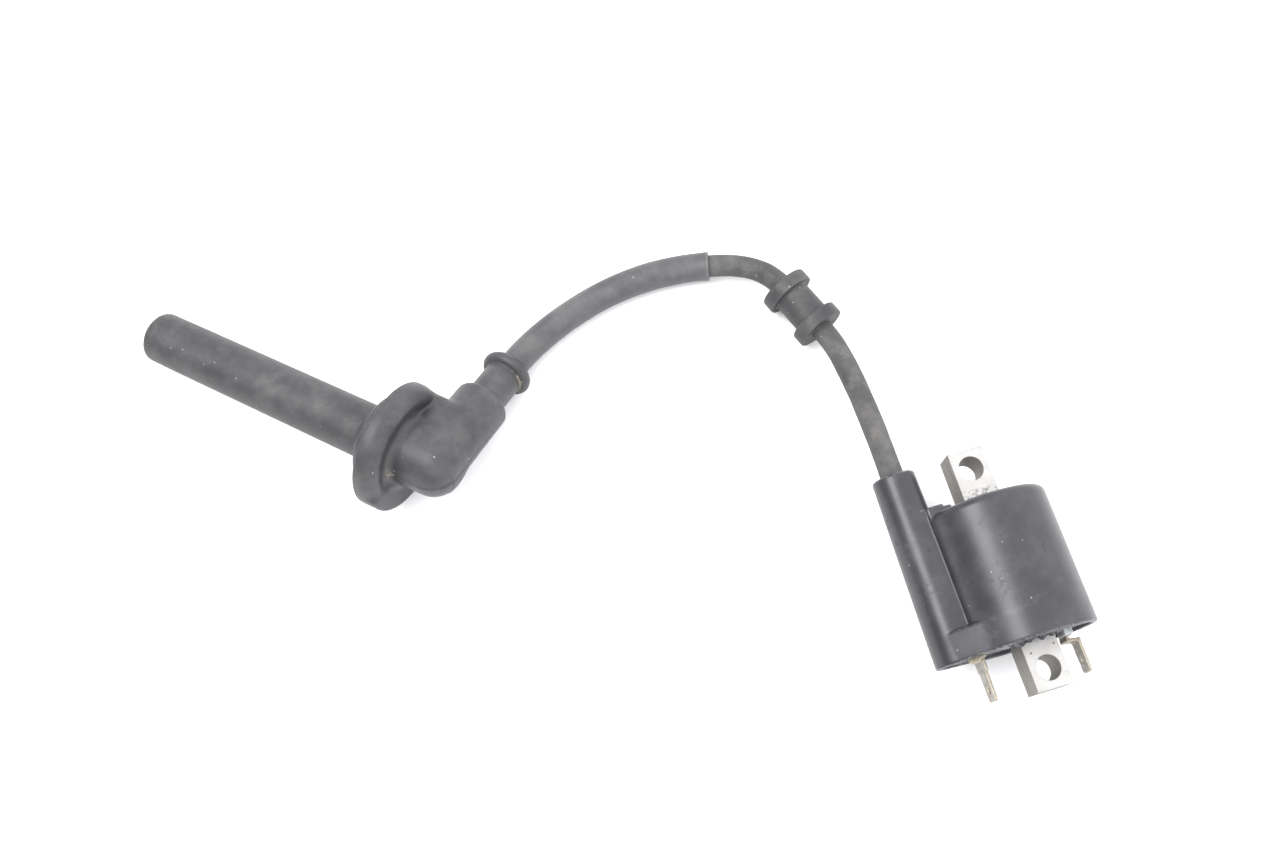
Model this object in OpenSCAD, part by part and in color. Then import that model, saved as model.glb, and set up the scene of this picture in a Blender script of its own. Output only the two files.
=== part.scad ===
// Ignition coil of a small engine, with its lead and its plug cap.
// Origin: midway between the two mounting holes, in the middle of the core's thickness.
// +Y runs along the core towards the lead's outlet, +Z along the mounting holes.

/* [Core] */
// Width and thickness of the square laminated core
core_side = 10.5; // [10.3:0.1:10.6]
// Length of the core from end to end
core_length = 71.8; // [70:0.2:74]
// Distance between the two mounting holes
hole_spacing = 60; // [59:0.5:61]
// Radius of each mounting hole
hole_r = 3.6; // [3.2:0.1:3.8]

/* [Case] */
// Radius of the case at its open end
case_r = 19; // [18.8:0.1:19]
// Radius of the case at its closed end
case_top_r = 18.8; // [18.6:0.1:19]
// Wall of the case
case_wall = 1.8; // [1.6:0.1:1.9]
// Y of the open end
case_open_y = -21.7; // [-22.5:0.1:-21.5]
// Y of the closed end
case_closed_y = 19.8; // [19.4:0.1:20.5]
// X of the tower's axis
tower_x = -21.5; // [-21.6:0.1:-21.4]
// Radius of the tower at the open end of the case
tower_base_r = 7.3; // [7:0.1:7.4]
// Radius of the tower at its mouth
tower_mouth_r = 6.4; // [6.2:0.1:6.6]
// Y of the tower's mouth
tower_mouth_y = 35; // [34.5:0.1:35]
// Length of the skirt that joins the case and the tower
skirt_length = 8.7; // [8:0.1:9]

/* [Lead] */
// Outside radius of the high-tension lead
lead_r = 3.5; // [3.4:0.05:3.5]
// Outside radius of the vinyl sleeve
sleeve_r = 4.5; // [4.4:0.05:4.6]
// Outside radius of the grommet's flanges
grommet_r = 8; // [7.6:0.1:8]
// Radius of the grommet between its flanges
grommet_barrel_r = 5.8; // [5.4:0.1:6.2]
// Length of the grommet
grommet_length = 18.8; // [18:0.1:19]
// Thickness of each grommet flange
grommet_flange = 4.3; // [3.8:0.1:4.6]

/* [Plug cap] */
// Distance from the elbow to the cap's lip
lip_x = 40.5; // [40:0.1:40.8]
// Outside radius of the lip
lip_r = 8.1; // [7.8:0.05:8.1]
// Radius of the cap's neck
neck_r = 6; // [5.9:0.1:6.2]
// Radius of the elbow's leg around the lead
leg_r = 8.6; // [8.4:0.1:9]
// Length of that leg
leg_length = 27.6; // [26:0.1:29]
// Radius of the rain disc
disc_r = 19.5; // [19:0.1:19.6]
// Distance from the elbow to the rain disc's near side
disc_near = 8.6; // [8.4:0.1:9]
// Distance from the elbow to the rain disc's far side
disc_far = 15.4; // [15:0.1:15.8]
// Distance from the elbow to the tube's mouth
tube_length = 102.6; // [100:0.2:106]
// Radius of the tube next to the rain disc
tube_root_r = 8.4; // [8.2:0.1:8.6]
// Radius of the tube at its mouth
tube_mouth_r = 7.95; // [7.8:0.05:8.1]

/* [Hidden] */
$fn = 64;
tiny = 0.01;

// The plug cap's own frame: X along its leg to the lip, Y along its tube to the mouth
elbow = [-149.2, 77.3, 2.9];
cap_turn = [-8.6, 20.5, 43.6];

// The straight stretch of lead under the grommet
grommet_low = [-22.2, 86.2, -11];
grommet_high = [-30.6, 106.8, -11];
grommet_centre = [-27, 97.9, -11];
grommet_heading = atan2(grommet_high[1] - grommet_low[1], grommet_high[0] - grommet_low[0]);

// Route of the lead's axis, from inside the tower to its end inside the plug cap
lead_route = [
    [-21.5, 10, 0], [-21.5, 22, 0], [-21.5, 34, 0], [-21.4, 40, -0.3], [-21.2, 46, -1.1],
    [-20.9, 52, -2.5], [-20.7, 58, -4.2], [-20.5, 64, -5.9], [-20.5, 70, -7.6],
    [-20.7, 76, -9.2], [-21.2, 81.5, -10.4], grommet_low, grommet_high,
    [-32.9, 111, -11.3], [-36.2, 114.6, -11.9], [-40.7, 117.6, -12.6], [-45.5, 119.7, -13.4],
    [-50, 121.1, -14], [-56, 122.4, -14.4], [-62.5, 123.1, -14.5], [-69.5, 123.3, -14.5],
    [-76.5, 122.8, -14.5], [-83.3, 121.8, -14.5], [-90, 120.2, -14.5], [-96.6, 118.1, -14.5],
    [-103, 115.6, -14.5], [-109.2, 112.6, -14.3], [-114.4, 109.4, -13.5],
    [-118.7, 106.2, -12.7], [-121.9, 103.3, -11.2], [-126.1, 99.3, -9], [-132.9, 92.8, -5.5],
    [-140.4, 85.7, -1.7]
];
sleeve_first = 17;
sleeve_last = 30;
tube_sides = 12;
sleeve_bore_r = 3.7;
lead_end_x = 13;

// Inside the coil
cavity_r = case_r - case_wall;
chamber_r = tower_base_r - 1.7;
chamber_depth = skirt_length - 1.8;
end_wall = 2.2;
lead_bore_r = lead_r + 0.1;
lead_bore_y = 9.8;
core_clearance = 0.1;
potting_y = -21;
bobbin_y0 = -15.9;
bobbin_y1 = 16.4;
flange_t = 1.2;
barrel1_r = 8.6;
flange1_r = 11.1;
bore2_r = 11.2;
barrel2_r = 12.4;
flange2_r = 15.9;
wall2_t = 0.9;
wall2_count = 8;
wire1_r = 10.8;
wire2_r = 15.2;
blade_t = 0.8;
blade_w = 6.3;
blade_end_y = -34.4;
blade_root_y = -18.5;
earth_x = -16.3;
earth_lean = 8;
feed_x = 8.5;
feed_tab_x = 11.6;
feed_jog_y = -25.1;
wire_y = -18;

// Inside the cap
block_r = 3.6;
pin_r = 1.5;
rod_r = 1.8;
spring_r = 2.3;
spring_wire_r = 0.35;
spring_y0 = 24;
spring_y1 = 38;
spring_turns = 5;
spring_sides = 6;
spring_steps = 12;
resistor_r = 2.8;
resistor_y1 = 60;
contact_bore_r = 3;
terminal_r = 4.4;
terminal_bore_r = 3.2;
terminal_y0 = 63;
terminal_y1 = 78;
plug_bore_r = 6.5;
seal_bore_r = 4.7;
seal_y0 = 90;
seal_y1 = 100;
stub_r = 6.2;
collar_r = 14.4;
root_r = 9.9;
root_round = 5;
lip_bead = 1.95;
web_half = 8.3;

// Points of an arc, from angle a0 to angle a1
function arc(cx, cy, r, a0, a1, n = 8) =
    [for (i = [0 : n]) let (a = a0 + (a1 - a0) * i / n) [cx + r * cos(a), cy + r * sin(a)]];

function unit(v) = v / norm(v);

// Direction of a route at point i, the mean of its two neighbouring stretches
function route_dir(route, i) =
    let (last = len(route) - 1)
    unit((i < last ? unit(route[i + 1] - route[i]) : [0, 0, 0])
       + (i > 0 ? unit(route[i] - route[i - 1]) : [0, 0, 0]));

// One ring of points of radius r, square to the route at point i
function route_ring(route, i, r, sides) =
    let (t = route_dir(route, i), side = unit(cross(t, [0, 0, 1])), up = cross(side, t))
    [for (k = [0 : sides - 1]) let (a = 360 * k / sides) route[i] + r * (cos(a) * side + sin(a) * up)];

function route_points(route, r, sides) =
    [for (i = [0 : len(route) - 1]) each route_ring(route, i, r, sides)];

// Side faces between neighbouring rings, from ring number first to ring number last
function skin(first, last, sides, inward = false) =
    [for (i = [first : last - 1], k = [0 : sides - 1])
        let (a = i * sides + k, b = i * sides + (k + 1) % sides)
        inward ? [a, a + sides, b + sides, b] : [a, b, b + sides, a + sides]];

// Carries its children from a Z axis to the row's Y axis
module along_y() {
    rotate([-90, 0, 0]) children();
}

// Carries its children from the plug cap's own frame to the part's
module in_cap() {
    translate(elbow) rotate(cap_turn) children();
}

module along_x() {
    rotate([0, 90, 0]) children();
}

// Flat outline of a big and a small circle with the two lines that touch both
module twin_outline(big_r, small_r) {
    nx = (big_r - small_r) / tower_x;
    ny = sqrt(1 - nx * nx);
    circle(r = big_r);
    translate([tower_x, 0]) circle(r = small_r);
    polygon([big_r * [nx, ny], [tower_x, 0] + small_r * [nx, ny],
             [tower_x, 0] + small_r * [nx, -ny], big_r * [nx, -ny]]);
}

module case_body() {
    edge = 2.4;
    length = case_closed_y - case_open_y;
    translate([0, case_open_y, 0]) along_y() {
        rotate_extrude()
            polygon(concat([[0, 0], [case_r, 0]],
                arc(case_top_r - edge, length - edge, edge, 0, 90), [[0, length]]));
        linear_extrude(skirt_length) twin_outline(case_r, tower_base_r);
        translate([tower_x, 0, 0])
            cylinder(r1 = tower_base_r, r2 = tower_mouth_r, h = tower_mouth_y - case_open_y);
    }
    // Web that ties the tower to the case
    translate([tower_x, case_open_y + skirt_length - 1, -7.6]) cube([4.4, 36.2, 15.2]);
    // Gusset and rib behind the closed end
    translate([-17.2, 14, -7.6]) cube([4.9, 8.2, 15.2]);
    translate([-12.4, 14, -7.6]) cube([2.3, 7.4, 15.2]);
}

module case_cavity() {
    translate([0, case_open_y - tiny, 0]) along_y() {
        cylinder(r = cavity_r, h = case_closed_y - end_wall - case_open_y);
        linear_extrude(chamber_depth) twin_outline(cavity_r, chamber_r);
    }
    hole = core_side + 2 * core_clearance;
    translate([-hole / 2, 0, -hole / 2]) cube([hole, 30, hole]);
}

module case() {
    color("#2d2e33") difference() {
        case_body();
        case_cavity();
        translate([tower_x, lead_bore_y, 0]) along_y() cylinder(r = lead_bore_r, h = 40);
        translate([tower_x, -18, 0]) along_y() cylinder(r = 1.25, h = 30);
    }
}

module core() {
    color("#c9c5bd") difference() {
        translate([-core_side / 2, -core_length / 2, -core_side / 2])
            cube([core_side, core_length, core_side]);
        for (y = [-1, 1])
            translate([0, y * hole_spacing / 2, -core_side]) cylinder(r = hole_r, h = 2 * core_side);
    }
}

module square_hole() {
    hole = core_side + 2 * core_clearance;
    translate([-hole / 2, -30, -hole / 2]) cube([hole, 60, hole]);
}

module potting() {
    slot = 0.05;
    color("#101114") difference() {
        translate([0, potting_y, 0]) along_y() {
            cylinder(r = cavity_r, h = bobbin_y0 - potting_y);
            linear_extrude(bobbin_y0 - potting_y) twin_outline(cavity_r, chamber_r);
        }
        square_hole();
        // Room for the strap, the pin, the terminals and the wires
        translate([-24 - slot, -18.6 - slot, -2.2 - slot]) cube([11 + 2 * slot, 4, 4.4 + 2 * slot]);
        translate([earth_x, 0, 0]) rotate([0, earth_lean, 0])
            translate([-blade_t / 2 - slot, -23, -blade_w / 2 - slot])
            cube([blade_t + 2 * slot, 23 - wire_y, blade_w + 2 * slot]);
        translate([feed_x - slot, -23, -blade_w / 2 - slot])
            cube([blade_t + 2 * slot, 23 - wire_y, blade_w + 2 * slot]);
        translate([-11, wire_y - 0.5, -0.5]) cube([1.5, 3, 1]);
        translate([9.2, wire_y - 0.5, -0.5]) cube([1, 3, 1]);
    }
}

module primary_bobbin() {
    color("#d8d2c0") difference() {
        translate([0, bobbin_y0, 0]) along_y() {
            cylinder(r = barrel1_r, h = bobbin_y1 - bobbin_y0);
            cylinder(r = flange1_r, h = flange_t);
            translate([0, 0, bobbin_y1 - bobbin_y0 - flange_t]) cylinder(r = flange1_r, h = flange_t);
        }
        square_hole();
    }
}

module primary_winding() {
    length = bobbin_y1 - bobbin_y0 - 2 * flange_t;
    color("#a8552a") translate([0, bobbin_y0 + flange_t, 0]) along_y() difference() {
        cylinder(r = wire1_r, h = length);
        translate([0, 0, -1]) cylinder(r = barrel1_r, h = length + 2);
    }
}

// Y of the lower face of wall number i of the secondary bobbin
function wall2_y(i) = bobbin_y0 + i * (bobbin_y1 - bobbin_y0 - wall2_t) / (wall2_count - 1);

module secondary_bobbin() {
    color("#b9b6a8") difference() {
        union() {
            translate([0, bobbin_y0, 0]) along_y() cylinder(r = barrel2_r, h = bobbin_y1 - bobbin_y0);
            for (i = [0 : wall2_count - 1])
                translate([0, wall2_y(i), 0]) along_y() cylinder(r = flange2_r, h = wall2_t);
        }
        translate([0, bobbin_y0 - 1, 0]) along_y() cylinder(r = bore2_r, h = 40);
    }
}

module secondary_winding() {
    color("#8c3f22") for (i = [0 : wall2_count - 2])
        translate([0, wall2_y(i) + wall2_t, 0]) along_y() difference() {
            gap = wall2_y(i + 1) - wall2_y(i) - wall2_t;
            cylinder(r = wire2_r, h = gap);
            translate([0, 0, -1]) cylinder(r = barrel2_r, h = gap + 2);
        }
}

module ht_strap() {
    color("#b58a3c") difference() {
        translate([-24, -17.8, -2]) cube([11, 0.5, 4]);
        translate([tower_x, -20, 0]) along_y() cylinder(r = 1.2, h = 10);
    }
}

module ht_pin() {
    color("#c4973f") translate([tower_x, -18.6, 0]) along_y() {
        cylinder(r = 2.2, h = 0.8);
        translate([0, 0, 0.8]) cylinder(r = 1.2, h = 29.6);
        translate([0, 0, 30.4]) cylinder(r1 = 1.2, r2 = 0.3, h = 3);
    }
}

// Flat tab that stands on edge: wide where it is potted, narrower outside
module earth_blade(shoulder_y, tab_w) {
    difference() {
        union() {
            translate([-blade_t / 2, shoulder_y, -blade_w / 2])
                cube([blade_t, blade_root_y - shoulder_y, blade_w]);
            translate([-blade_t / 2, blade_end_y + 1, -tab_w / 2])
                cube([blade_t, shoulder_y - blade_end_y, tab_w]);
            translate([-blade_t / 2, blade_end_y, -tab_w / 2 + 0.8])
                cube([blade_t, 2, tab_w - 1.6]);
        }
        translate([-1, -31, 0]) along_x() cylinder(r = 0.75, h = 2, $fn = 24);
    }
}

module earth_terminal() {
    color("#b9ab8c") translate([earth_x, 0, 0]) rotate([0, earth_lean, 0]) earth_blade(-26, 4.8);
}

module feed_terminal() {
    color("#b9ab8c") difference() {
        union() {
            translate([feed_x, feed_jog_y, -blade_w / 2])
                cube([blade_t, blade_root_y - feed_jog_y, blade_w]);
            translate([feed_x, feed_jog_y, -blade_w / 2])
                cube([feed_tab_x - feed_x + blade_t, blade_t, blade_w]);
            translate([feed_tab_x, blade_end_y + 1, -blade_w / 2])
                cube([blade_t, feed_jog_y + blade_t - blade_end_y - 1, blade_w]);
            translate([feed_tab_x, blade_end_y, -blade_w / 2 + 1])
                cube([blade_t, 2, blade_w - 2]);
        }
        translate([feed_tab_x - 1, -30.6, 0]) along_x() cylinder(r = 0.75, h = 3, $fn = 24);
    }
}

// Cream sealing compound beside the root of the earth terminal
module terminal_seal() {
    color("#c9c3a3") translate([earth_x - 2.1, potting_y, 0.4]) along_y() mirror([0, 0, 1]) {
        cylinder(r = 1.5, h = 1.1);
        translate([0, 0, 1.1]) cylinder(r1 = 1.5, r2 = 0.8, h = 0.8);
    }
}

// Tinned pad beside the root of the feed terminal
module terminal_pad() {
    color("#cdd0cf") translate([feed_x + blade_t + 0.05, potting_y - 2.2, -2.6]) cube([1.9, 2.2, 6.2]);
}

// The two ends of the primary winding, on their way to the terminals
module primary_wires() {
    wire_r = 0.35;
    color("#b5622f") for (x = [-10.2, 9.7])
        translate([x, wire_y - 0.4, 0]) along_y() cylinder(r = wire_r, h = bobbin_y0 - wire_y + 0.3, $fn = 16);
}

module ht_lead() {
    last = len(lead_route) - 1;
    color("#3f3f40") polyhedron(
        points = route_points(lead_route, lead_r, tube_sides),
        faces = concat(
            [[for (k = [tube_sides - 1 : -1 : 0]) k]],
            skin(0, last, tube_sides),
            [[for (k = [0 : tube_sides - 1]) last * tube_sides + k]]),
        convexity = 6);
}

module vinyl_sleeve() {
    route = [for (i = [sleeve_first : sleeve_last]) lead_route[i]];
    count = len(route);
    n = tube_sides;
    inside = count * n;
    color("#4a4a4d") polyhedron(
        points = concat(route_points(route, sleeve_r, n), route_points(route, sleeve_bore_r, n)),
        faces = concat(
            skin(0, count - 1, n),
            skin(count, 2 * count - 1, n, true),
            [for (k = [0 : n - 1]) let (j = (k + 1) % n) [k, inside + k, inside + j, j]],
            [for (k = [0 : n - 1]) let (j = (k + 1) % n, e = (count - 1) * n)
                [e + j, inside + e + j, inside + e + k, e + k]]),
        convexity = 6);
}

module frame_grommet() {
    edge = 0.5;
    groove = grommet_length - 2 * grommet_flange;
    color("#252526") translate(grommet_centre) rotate([0, 0, grommet_heading]) along_x() difference() {
        translate([0, 0, -grommet_length / 2]) {
            for (z = [0, grommet_length - grommet_flange]) translate([0, 0, z]) rotate_extrude()
                polygon([[0, 0], [grommet_r - edge, 0], [grommet_r, edge],
                         [grommet_r, grommet_flange - edge], [grommet_r - edge, grommet_flange],
                         [0, grommet_flange]]);
            translate([0, 0, grommet_flange]) cylinder(r = grommet_barrel_r, h = groove);
        }
        translate([0, 0, -20]) cylinder(r = lead_r + 0.08, h = 40);
    }
}

// Brass cup on the end of the lead, with the pin that the cap turns on
module lead_ferrule() {
    color("#c4973f") in_cap() translate([lead_end_x, 0, 0]) along_x() {
        translate([0, 0, -1.4]) cylinder(r = 3.3, h = 1.4);
        cylinder(r = 0.8, h = 6);
        translate([0, 0, -15.4]) cylinder(r = pin_r, h = 14);
    }
}

// Rubber cover: lip, neck and domed leg around the lead, and the tube's root with the rain disc
module cap_cover() {
    bead = 1.5;
    corner = 2.6;
    hollow = disc_far - 2.8;
    color("#333335") in_cap() difference() {
        union() {
            along_x() rotate_extrude() polygon(concat(
                arc(0, -1, leg_r, -90, 0, 6),
                arc(leg_r - corner, leg_length - corner, corner, 0, 90, 4),
                [[neck_r, leg_length], [neck_r, lip_x - 1.8]],
                arc(lip_r - lip_bead, lip_x, lip_bead, -66, 90, 6), [[0, lip_x + lip_bead]]));
            along_y() rotate_extrude() polygon(concat([[0, -6]],
                arc(root_r - root_round, root_round - 6, root_round, -90, 0, 6),
                [[root_r, disc_near], [12, disc_near + 1.6], [15, disc_near + 1.6]],
                arc(disc_r - bead, disc_near + bead, bead, -90, 0, 4),
                arc(disc_r - bead, disc_far - bead, bead, 0, 90, 4),
                [[17, disc_far], [16.6, hollow], [0, hollow]]));
            // Web between the leg and the rain disc
            intersection() {
                along_y() cylinder(r = disc_r - 0.3, h = disc_near + 2.6);
                translate([0, 2, -web_half]) cube([disc_r, disc_near, 2 * web_half]);
            }
        }
        // Bores for the pin, the lead and the sleeve
        along_x() rotate_extrude() polygon([[0, -3.2], [1.9, -3.2], [1.9, lead_end_x - 2],
            [lead_r + 0.35, lead_end_x - 2], [lead_r + 0.35, 32.5], [sleeve_r + 0.35, 32.5],
            [sleeve_r + 0.35, 50], [0, 50]]);
        // Room for the contact block and the tube's stub
        along_y() rotate_extrude() polygon([[0, -4.4], [block_r + 0.1, -4.4], [block_r + 0.1, 4],
            [stub_r, 4], [stub_r, disc_far - 3.6], [tube_root_r, disc_far - 3.6],
            [tube_root_r, 30], [0, 30]]);
    }
}

module cap_tube() {
    edge = 2;
    far = tube_length;
    flange = disc_far - 3.6;
    collar_y = disc_far + 0.6;
    color("#2f2f31") in_cap() along_y() rotate_extrude()
        polygon(concat([[rod_r + 0.1, 5.2], [stub_r, 5.2], [stub_r, flange], [tube_root_r, flange],
            [tube_root_r, collar_y], [collar_r - 0.4, collar_y], [collar_r, collar_y + 0.5],
            [collar_r - 0.4, collar_y + 2.6], [collar_r - 1.8, collar_y + 4],
            [10.4, collar_y + 4.6], [tube_root_r, collar_y + 6.4]],
            arc(tube_mouth_r - edge, far - edge, edge, 0, 80, 6),
            [[plug_bore_r - 0.3, far], [plug_bore_r, far - 0.6], [plug_bore_r, terminal_y1],
             [terminal_r, terminal_y1], [terminal_r, resistor_y1], [contact_bore_r, resistor_y1],
             [contact_bore_r, 22], [rod_r + 0.1, 22]]));
}

// Brass block that the ferrule's pin turns in, with the rod that carries the current on
module contact_block() {
    color("#c4973f") in_cap() difference() {
        union() {
            translate([0, -4.2, 0]) along_y() cylinder(r = block_r, h = 7.6);
            along_y() cylinder(r = rod_r, h = 22.2);
            translate([0, 22.2, 0]) along_y() cylinder(r = 2.6, h = 1.4);
        }
        translate([-10, 0, 0]) along_x() cylinder(r = pin_r + 0.05, h = 20);
    }
}

module contact_spring() {
    n = spring_turns * spring_steps;
    pitch = (spring_y1 - spring_y0 - 1) / spring_turns;
    helix = [for (i = [0 : n]) let (a = 360 * i / spring_steps)
        [spring_r * cos(a), spring_r * sin(a), spring_y0 + 0.4 + pitch * i / spring_steps]];
    color("#9c9c9c") in_cap() along_y() polyhedron(
        points = [for (i = [0 : n], k = [0 : spring_sides - 1])
            let (a = 360 * i / spring_steps, b = 360 * k / spring_sides)
            helix[i] + spring_wire_r * (cos(b) * [cos(a), sin(a), 0] + [0, 0, sin(b)])],
        faces = concat([[for (k = [0 : spring_sides - 1]) k]],
            skin(0, n, spring_sides, true),
            [[for (k = [spring_sides - 1 : -1 : 0]) n * spring_sides + k]]));
}

module resistor() {
    cap_t = 3;
    color("#d9d6cc") in_cap() translate([0, spring_y1, 0]) along_y() {
        cylinder(r = resistor_r, h = cap_t);
        cylinder(r = resistor_r - 0.3, h = resistor_y1 - spring_y1);
        translate([0, 0, resistor_y1 - spring_y1 - cap_t]) cylinder(r = resistor_r, h = cap_t);
    }
}

module plug_terminal() {
    color("#c4973f") in_cap() along_y() rotate_extrude()
        polygon([[0, resistor_y1], [terminal_r - 0.05, resistor_y1], [terminal_r - 0.05, 78],
                 [terminal_r + 0.9, 78.2], [terminal_r + 0.9, 79], [terminal_bore_r, 79],
                 [terminal_bore_r, terminal_y0], [0, terminal_y0]]);
}

// Spring wire that grips the plug through the terminal's mouth
module terminal_clip() {
    color("#8f9194") in_cap() translate([0, 79.1, 0]) along_y() difference() {
        cylinder(r = terminal_r + 0.7, h = 0.8);
        translate([0, 0, -1]) cylinder(r = terminal_bore_r + 0.1, h = 3);
        translate([-0.8, 0, -1]) cube([1.6, 9, 3]);
    }
}

module plug_seal() {
    color("#3a3a3b") in_cap() translate([0, seal_y0, 0]) along_y() difference() {
        cylinder(r = plug_bore_r - 0.02, h = seal_y1 - seal_y0);
        translate([0, 0, -1]) cylinder(r = seal_bore_r, h = seal_y1 - seal_y0 + 2);
    }
}

case();
core();
potting();
primary_bobbin();
primary_winding();
secondary_bobbin();
secondary_winding();
ht_strap();
ht_pin();
earth_terminal();
feed_terminal();
terminal_seal();
terminal_pad();
primary_wires();
ht_lead();
vinyl_sleeve();
frame_grommet();
lead_ferrule();
cap_cover();
cap_tube();
contact_block();
contact_spring();
resistor();
plug_terminal();
terminal_clip();
plug_seal();
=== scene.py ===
import math

import bpy
import numpy as np
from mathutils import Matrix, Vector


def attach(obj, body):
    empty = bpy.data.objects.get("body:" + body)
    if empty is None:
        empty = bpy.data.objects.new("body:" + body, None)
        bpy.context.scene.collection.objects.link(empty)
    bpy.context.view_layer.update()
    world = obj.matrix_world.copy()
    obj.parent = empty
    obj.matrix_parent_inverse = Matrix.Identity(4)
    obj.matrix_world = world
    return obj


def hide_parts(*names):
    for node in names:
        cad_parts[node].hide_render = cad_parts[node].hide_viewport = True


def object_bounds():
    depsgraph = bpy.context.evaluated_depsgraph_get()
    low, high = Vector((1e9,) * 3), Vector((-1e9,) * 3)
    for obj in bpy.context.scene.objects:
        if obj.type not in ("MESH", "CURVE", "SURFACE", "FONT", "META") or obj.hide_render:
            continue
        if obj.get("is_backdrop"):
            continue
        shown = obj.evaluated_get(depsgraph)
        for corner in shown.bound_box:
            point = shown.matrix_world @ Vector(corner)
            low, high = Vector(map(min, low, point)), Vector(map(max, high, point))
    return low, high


# Ignition coil of a small engine, with its high-tension lead and its plug cap.
# Sizes are in millimetres, and MM turns them into the scene's metres.
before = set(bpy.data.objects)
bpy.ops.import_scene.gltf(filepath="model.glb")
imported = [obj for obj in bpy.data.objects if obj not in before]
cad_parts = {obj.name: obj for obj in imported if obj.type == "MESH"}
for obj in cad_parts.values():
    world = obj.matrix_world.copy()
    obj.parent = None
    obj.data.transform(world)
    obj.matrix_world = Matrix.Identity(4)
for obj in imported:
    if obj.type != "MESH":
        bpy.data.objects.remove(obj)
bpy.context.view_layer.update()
scene = bpy.context.scene
MM = 0.001


# ---- Camera ---------------------------------------------------------------------------------
# It looks down on the part from the tower's side, leaning back a little, through a normal lens.
camera = bpy.data.objects.new("camera", bpy.data.cameras.new("camera"))
scene.collection.objects.link(camera)
camera.location = (-0.12348, -0.04661, 0.38616)
camera.rotation_euler = (0.309, 0, -0.291)
camera.data.sensor_width = 36
camera.data.lens = 38.3
scene.camera = camera
scene.view_settings.view_transform = "Standard"


# ---- High-tension lead ----------------------------------------------------------------------
# Stranded wire in 7 mm of black synthetic rubber, extruded and a little dusty. It is pushed
# onto the pin inside the tower at one end and screwed onto a brass cup in the cap at the other.
LEAD_R = 3.5
GROMMET_LOW = (-22.2, 86.2, -11)
GROMMET_HIGH = (-30.6, 106.8, -11)
LEAD_ROUTE = [
    (-21.5, 10, 0), (-21.5, 16, 0), (-21.5, 22, 0), (-21.5, 28, 0), (-21.5, 34, 0),
    (-21.4, 40, -0.3), (-21.2, 46, -1.1), (-20.9, 52, -2.5), (-20.7, 58, -4.2),
    (-20.5, 64, -5.9), (-20.5, 70, -7.6), (-20.7, 76, -9.2), (-21.2, 81.5, -10.4),
    GROMMET_LOW, (-24.3, 91.35, -11), (-26.4, 96.5, -11), (-28.5, 101.65, -11), GROMMET_HIGH,
    (-32.9, 111, -11.3), (-36.2, 114.6, -11.9), (-40.7, 117.6, -12.6), (-45.5, 119.7, -13.4),
    (-50, 121.1, -14), (-56, 122.4, -14.4), (-62.5, 123.1, -14.5), (-69.5, 123.3, -14.5),
    (-76.5, 122.8, -14.5), (-83.3, 121.8, -14.5), (-90, 120.2, -14.5), (-96.6, 118.1, -14.5),
    (-103, 115.6, -14.5), (-109.2, 112.6, -14.3), (-114.4, 109.4, -13.5),
    (-118.7, 106.2, -12.7), (-121.9, 103.3, -11.2), (-126.1, 99.3, -9), (-132.9, 92.8, -5.5),
    (-140.4, 85.7, -1.7)]


def line_through(points, steps=8):
    """Smooth line through points: between two of them it is the cubic whose slope at each is
    half the step from the point before to the point after."""
    p = np.asarray(points, float)
    p = np.vstack([2 * p[0] - p[1], p, 2 * p[-1] - p[-2]])
    a, b, c, d = p[:-3], p[1:-2], p[2:-1], p[3:]
    t = np.linspace(0, 1, steps, endpoint=False)[:, None, None]
    line = 0.5 * (2 * b + (c - a) * t + (2 * a - 5 * b + 4 * c - d) * t ** 2
                  + (3 * b - a - 3 * c + d) * t ** 3)
    return np.vstack([line.transpose(1, 0, 2).reshape(-1, 3), p[-2]])


def distances(line):
    """How far along the line each of its points lies."""
    return np.concatenate([[0], np.cumsum(np.linalg.norm(np.diff(line, axis=0), axis=1))])


def evened(line, gap, rounds):
    """The line with its points an even gap apart; each inner point is then drawn, for some
    rounds, half way to the middle of its two neighbours."""
    far = distances(line)
    at = np.linspace(0, far[-1], int(far[-1] / gap) + 1)
    line = np.stack([np.interp(at, far, c) for c in line.T], 1)
    for _ in range(rounds):
        line[1:-1] = 0.5 * line[1:-1] + 0.25 * (line[:-2] + line[2:])
    return line


def rings_along(line, stations, radii, sides):
    """Rings square to a line: point k of ring i is the line's point at stations[i], plus
    radii[i] times the cosine of its angle to the side and the sine of it upwards."""
    far = distances(line)
    slopes = np.gradient(line, far, axis=0)
    place = np.stack([np.interp(stations, far, c) for c in line.T], 1)
    slope = np.stack([np.interp(stations, far, c) for c in slopes.T], 1)
    slope /= np.linalg.norm(slope, axis=1, keepdims=True)
    side = np.cross(slope, (0, 0, 1))
    side /= np.linalg.norm(side, axis=1, keepdims=True)
    up = np.cross(side, slope)
    turn = np.linspace(0, 2 * np.pi, sides, endpoint=False)[None, :, None]
    across = np.cos(turn) * side[:, None] + np.sin(turn) * up[:, None]
    return place[:, None] + np.reshape(radii, (-1, 1, 1)) * across


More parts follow.
